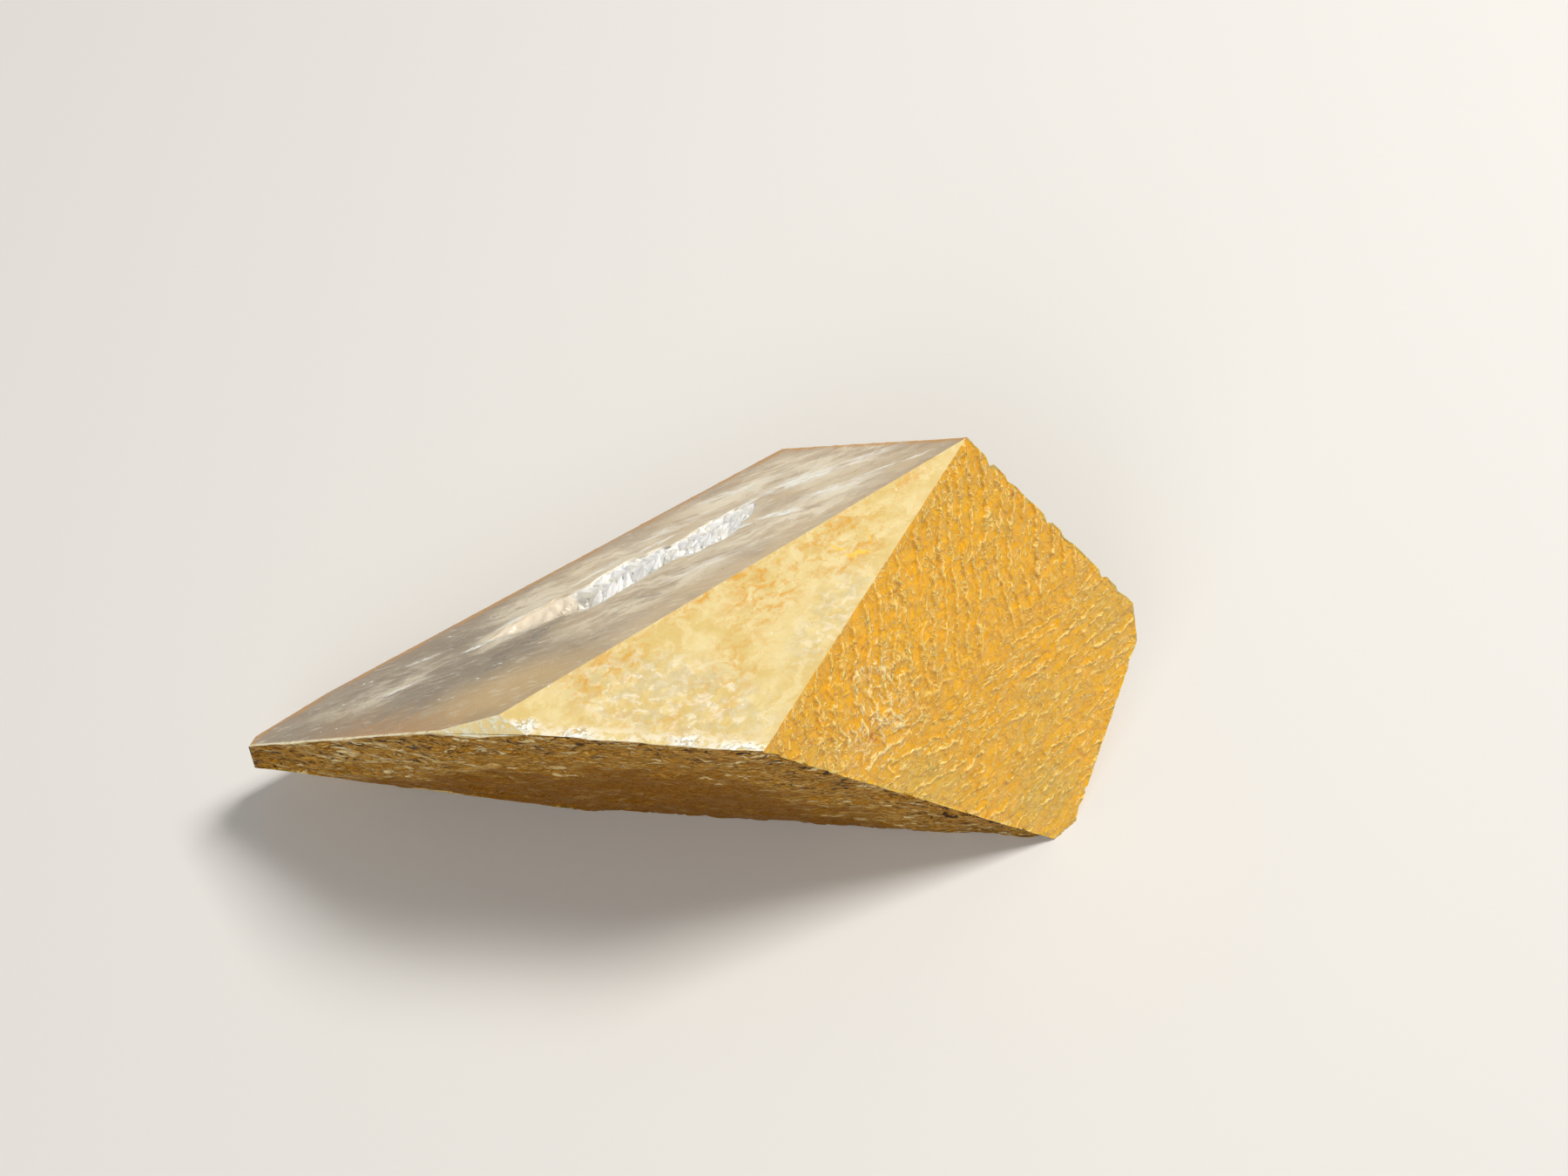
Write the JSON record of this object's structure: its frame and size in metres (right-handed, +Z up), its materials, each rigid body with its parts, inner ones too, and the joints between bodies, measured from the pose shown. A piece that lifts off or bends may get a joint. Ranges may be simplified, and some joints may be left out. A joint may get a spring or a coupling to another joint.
{
  "type": "polyhedral agate",
  "caption": "Flat-sided agate stone, sawn and polished on one side through a narrow hollow lined with quartz points; a display or study specimen.",
  "frame": {"origin": "on the resting plane, under the middle of the stone's bounding box", "axes": "+X along the stone's length towards its thick end, +Z up, +Y towards the back, away from the cream facet"},
  "size_m": [0.0584, 0.0251, 0.025],
  "materials": {
    "agate": "satin",
    "quartz_druse": "polished"
  },
  "bodies": {
    "root": {"stone": "agate", "crystal_crust": "quartz_druse"}
  },
  "joints": []
}
